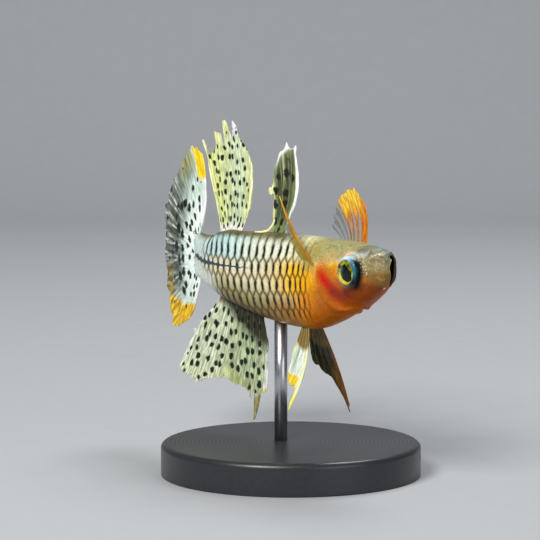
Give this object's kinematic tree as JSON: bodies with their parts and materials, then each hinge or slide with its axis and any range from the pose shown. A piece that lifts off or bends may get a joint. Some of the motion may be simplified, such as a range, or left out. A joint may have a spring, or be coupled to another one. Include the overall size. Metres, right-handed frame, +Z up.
{
  "type": "spotted blue-eye fish model",
  "caption": "Still life-size model of a male spotted blue-eye with raised fins, held by a rod on a small round display base.",
  "frame": {"origin": "middle of the underside of the stand's round base", "axes": "+Z is up, the fish swims towards +X, and its left side is towards +Y"},
  "size_m": [0.0386, 0.024, 0.0323],
  "materials": {
    "skin": "satin",
    "fin_membrane": "satin",
    "eye": "gloss",
    "stand_plastic": "satin",
    "stand_steel": "satin"
  },
  "bodies": {
    "root": {"head": "skin", "jaw": "skin", "torso": "skin", "tail_stalk": "skin", "eye_left": "eye", "eye_right": "eye", "fin_dorsal_front": "fin_membrane", "fin_dorsal_rear": "fin_membrane", "fin_anal": "fin_membrane", "fin_caudal": "fin_membrane", "fin_pectoral_left": "fin_membrane", "fin_pectoral_right": "fin_membrane", "fin_pelvic_left": "fin_membrane", "fin_pelvic_right": "fin_membrane", "stand_base": "stand_plastic", "stand_rod": "stand_steel"}
  },
  "joints": []
}
